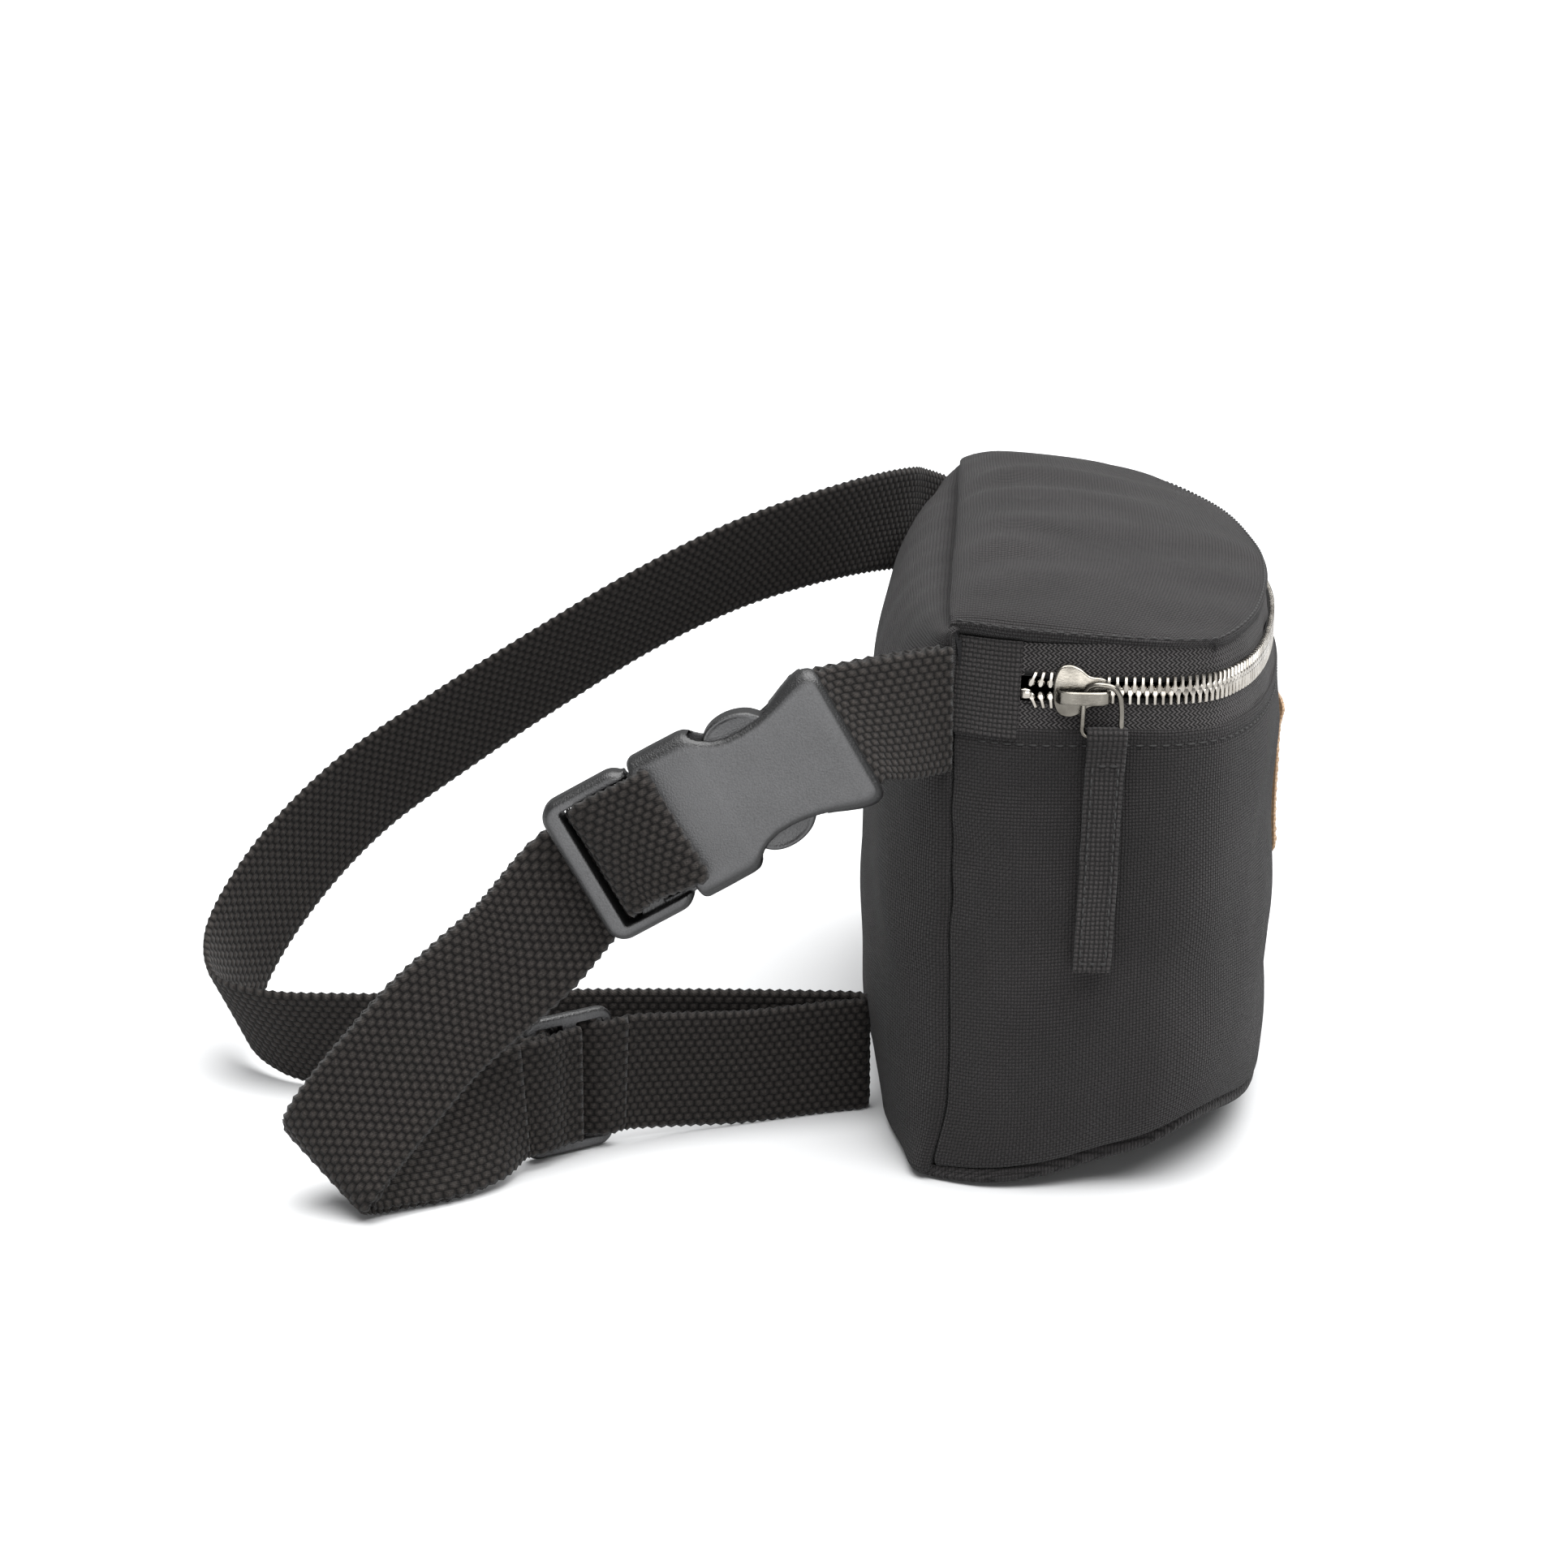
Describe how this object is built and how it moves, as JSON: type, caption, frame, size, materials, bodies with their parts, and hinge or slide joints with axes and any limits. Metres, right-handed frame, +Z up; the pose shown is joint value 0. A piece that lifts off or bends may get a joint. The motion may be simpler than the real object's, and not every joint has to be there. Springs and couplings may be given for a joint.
{
  "type": "waist pack",
  "caption": "Curved canvas waist pack with a zipped lid, webbing strap, side-release buckle and sliding strap adjuster.",
  "frame": {"origin": "on the table, on the flat underside of the pack, under its middle", "axes": "+X along the pack's length, -Y its front, +Y the wearer's side, +Z up"},
  "size_m": [0.2738, 0.283, 0.1452],
  "materials": {
    "canvas": "plain-woven charcoal canvas, matt",
    "webbing": "coarse basket-woven black webbing, matt",
    "zip_tape": "black woven zip tape",
    "lining_cloth": "thin plain lining",
    "buckle_plastic": "satin moulded acetal",
    "zip_metal": "polished nickel plate",
    "cork": "natural tan cork-like weave"
  },
  "bodies": {
    "bag": {"front_panel": "canvas", "back_panel": "canvas", "bottom_panel": "canvas", "lining": "lining_cloth", "front_label": "cork", "zip_end_tab_near": "zip_tape", "zip_end_tab_far": "zip_tape", "zip_tape_lower": "zip_tape", "zip_teeth_lower": "zip_metal", "buckle_female": "buckle_plastic", "buckle_tab": "webbing", "waist_strap": "webbing"},
    "lid": {"top_panel": "canvas", "zip_tape_upper": "zip_tape", "zip_teeth_upper": "zip_metal"},
    "slider": {"zip_slider": "zip_metal", "slider_eye": "zip_metal"},
    "ring": {"pull_ring": "zip_metal"},
    "pull": {"pull_tab": "canvas"},
    "male": {"buckle_male": "buckle_plastic"},
    "upper_prong": {"prong_upper": "buckle_plastic"},
    "lower_prong": {"prong_lower": "buckle_plastic"},
    "adjuster": {"strap_adjuster": "buckle_plastic"}
  },
  "joints": [
    {"name": "lid_open", "type": "hinge", "parent": "bag", "child": "lid", "pos_m": [0, 0.0406, 0.1366], "axis": [-1, 0, 0], "range_deg": [0, 60]},
    {"name": "zip_slide", "type": "slide", "parent": "bag", "child": "slider", "axis": [0.028, -0.9996, 0], "range_m": [0, 0.014]},
    {"name": "ring_swing", "type": "hinge", "parent": "slider", "child": "ring", "pos_m": [-0.12527, 0.00583, 0.126], "axis": [-0.028, 0.9996, 0], "range_deg": [0, 110]},
    {"name": "pull_swing", "type": "hinge", "parent": "ring", "child": "pull", "pos_m": [-0.12527, 0.00583, 0.1155], "axis": [-0.028, 0.9996, 0], "range_deg": [-1, 100]},
    {"name": "buckle_release", "type": "slide", "parent": "bag", "child": "male", "axis": [0, 0.8682, -0.4961], "range_m": [0, 0.03], "deforming": ["waist_strap"]},
    {"name": "prong_upper_flex", "type": "hinge", "parent": "male", "child": "upper_prong", "pos_m": [-0.14, 0.1074, 0.10676], "axis": [1, 0, 0], "range_deg": [0, 12.5]},
    {"name": "prong_lower_flex", "type": "hinge", "parent": "male", "child": "lower_prong", "pos_m": [-0.14, 0.0951, 0.08523], "axis": [-1, 0, 0], "range_deg": [0, 12.5]},
    {"name": "adjuster_slide", "type": "slide", "parent": "bag", "child": "adjuster", "axis": [0.6198, -0.7848, 0], "range_m": [0, 0.012], "deforming": ["waist_strap"]}
  ],
  "couplings": [
    {"joint": "prong_upper_flex", "follows": "buckle_release", "rad_per_m": 6.9},
    {"joint": "prong_lower_flex", "follows": "buckle_release", "rad_per_m": 6.9}
  ]
}
